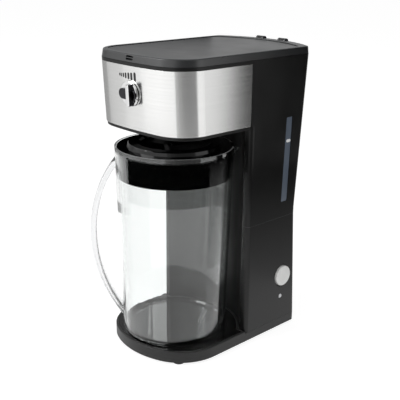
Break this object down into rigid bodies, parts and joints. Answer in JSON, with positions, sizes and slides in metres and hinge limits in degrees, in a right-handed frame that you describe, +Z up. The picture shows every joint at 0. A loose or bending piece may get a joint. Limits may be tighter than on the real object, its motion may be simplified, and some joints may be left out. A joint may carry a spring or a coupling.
{
  "type": "iced tea maker",
  "caption": "Countertop iced tea maker: clear lidded pitcher under an overhanging brewing head with steel front, strength knob, hinged lid and side power button.",
  "frame": {"origin": "on the table, under the pitcher's axis", "axes": "+Z up, -Y towards the front where the pitcher stands, +X to the right as seen from the front"},
  "size_m": [0.1419, 0.2272, 0.331],
  "materials": {
    "satin_black": "satin",
    "gloss_black": "gloss",
    "dark_rubber": "matte",
    "pale_rubber": "matte",
    "screw_steel": "plain",
    "steel_panel": "brushed",
    "bright_chrome": "bright",
    "clear_plastic": "clear",
    "tank_plastic": "translucent",
    "nylon_mesh": "woven",
    "heater_aluminium": "cast",
    "white_plastic": "plain",
    "lamp_lens": "clear"
  },
  "bodies": {
    "housing": {"base": "satin_black", "pitcher_tray": "gloss_black", "bottom_plate": "satin_black", "rubber_feet": "dark_rubber", "plate_screws": "screw_steel", "housing_screws": "screw_steel", "lower_housing": "satin_black", "upper_housing": "satin_black", "front_panel": "steel_panel", "head_cover": "satin_black", "sight_window": "clear_plastic", "water_tank": "tank_plastic", "top_deck": "satin_black", "brew_basket": "satin_black", "filter_frame": "satin_black", "filter_mesh": "nylon_mesh", "heater": "heater_aluminium", "heater_bracket": "screw_steel", "bracket_screw": "screw_steel", "thermostat": "heater_aluminium", "thermal_fuses": "white_plastic", "tank_hose": "pale_rubber", "check_valve": "white_plastic", "heater_hose": "pale_rubber", "riser_hose": "pale_rubber", "riser_tube": "white_plastic", "hose_clamps": "screw_steel", "riser_seal": "dark_rubber", "power_switch": "white_plastic", "indicator_lamp": "lamp_lens", "cord_gland": "dark_rubber", "hinge_pins": "screw_steel"},
    "button": {"power_button": "bright_chrome"},
    "lid": {"top_lid": "satin_black", "spray_head": "satin_black"},
    "knob": {"strength_knob": "bright_chrome", "selector_shaft": "screw_steel", "shaft_clip": "screw_steel", "strength_shutter": "white_plastic"},
    "pitcher": {"pitcher": "clear_plastic"},
    "pitcher_lid": {"pitcher_lid": "gloss_black"}
  },
  "joints": [
    {"name": "lid_hinge", "type": "hinge", "parent": "housing", "child": "lid", "pos_m": [0, 0.1502, 0.3275], "axis": [-1, 0, 0], "range_deg": [0, 95]},
    {"name": "knob_turn", "type": "hinge", "parent": "housing", "child": "knob", "pos_m": [0, -0.05799, 0.2895], "axis": [0, -0.9985, -0.0543], "range_deg": [-60, 60]},
    {"name": "button_press", "type": "slide", "parent": "housing", "child": "button", "axis": [-1, 0, 0], "range_m": [0, 0.0018], "stiffness_N_per_m": 400, "springref_m": -0.002},
    {"name": "pitcher_slide", "type": "slide", "parent": "housing", "child": "pitcher", "axis": [0, -1, 0], "range_m": [0, 0.14]},
    {"name": "pitcher_lid_turn", "type": "hinge", "parent": "pitcher", "child": "pitcher_lid", "pos_m": [0, 0, 0.228], "axis": [0, 0, 1], "range_deg": [0, 90]}
  ]
}
